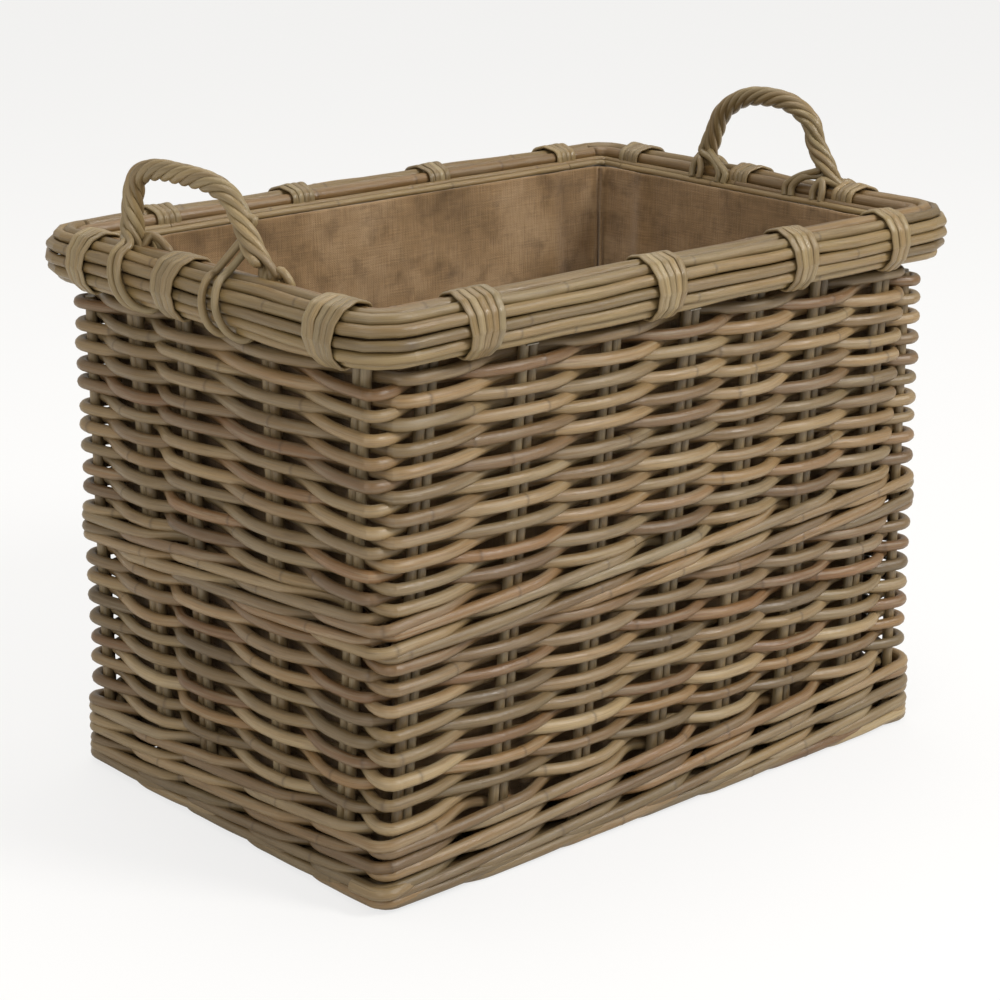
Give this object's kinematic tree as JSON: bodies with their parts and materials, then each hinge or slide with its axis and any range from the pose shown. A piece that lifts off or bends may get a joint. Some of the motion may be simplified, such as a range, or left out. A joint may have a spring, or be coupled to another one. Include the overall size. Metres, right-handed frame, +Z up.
{
  "type": "wicker log basket",
  "caption": "Rectangular wicker log basket with a thick bound rolled rim, a rope-twisted handle on each short side and a plain hessian liner.",
  "frame": {"origin": "on the floor, under the centre of the base", "axes": "+X along the basket towards the handle on the right, +Y from the front face to the back face, +Z up"},
  "size_m": [0.6778, 0.4778, 0.565],
  "materials": {
    "woven_rod": "satin",
    "wale_rod": "satin",
    "stake": "matte",
    "rim_rod": "satin",
    "binding_cane": "satin",
    "handle_cane": "satin",
    "hessian": "matte",
    "wire": "satin"
  },
  "bodies": {
    "root": {"foot_border": "wale_rod", "base_sticks": "stake", "base_weave_under": "woven_rod", "base_weave_over": "woven_rod", "stakes_front": "stake", "stakes_back": "stake", "stakes_left": "stake", "stakes_right": "stake", "stakes_corners": "stake", "base_wale_front": "wale_rod", "base_wale_back": "wale_rod", "base_wale_left": "wale_rod", "base_wale_right": "wale_rod", "lower_weave_front": "woven_rod", "lower_weave_back": "woven_rod", "lower_weave_left": "woven_rod", "lower_weave_right": "woven_rod", "middle_wale_front": "wale_rod", "middle_wale_back": "wale_rod", "middle_wale_left": "wale_rod", "middle_wale_right": "wale_rod", "upper_weave_front": "woven_rod", "upper_weave_back": "woven_rod", "upper_weave_left": "woven_rod", "upper_weave_right": "woven_rod", "base_wale_corners": "wale_rod", "lower_weave_corners": "woven_rod", "middle_wale_corners": "wale_rod", "upper_weave_corners": "woven_rod", "rim_rods_front": "rim_rod", "rim_rods_back": "rim_rod", "rim_rods_left": "rim_rod", "rim_rods_right": "rim_rod", "rim_rods_corners": "rim_rod", "rim_core_rods": "rim_rod", "rim_bindings_front": "binding_cane", "rim_bindings_back": "binding_cane", "rim_bindings_left": "binding_cane", "rim_bindings_right": "binding_cane", "handle_left": "handle_cane", "handle_right": "handle_cane", "handle_left_lashings": "binding_cane", "handle_right_lashings": "binding_cane", "liner_walls": "hessian", "liner_floor": "hessian", "liner_hem": "hessian", "rim_pins": "wire"}
  },
  "joints": []
}
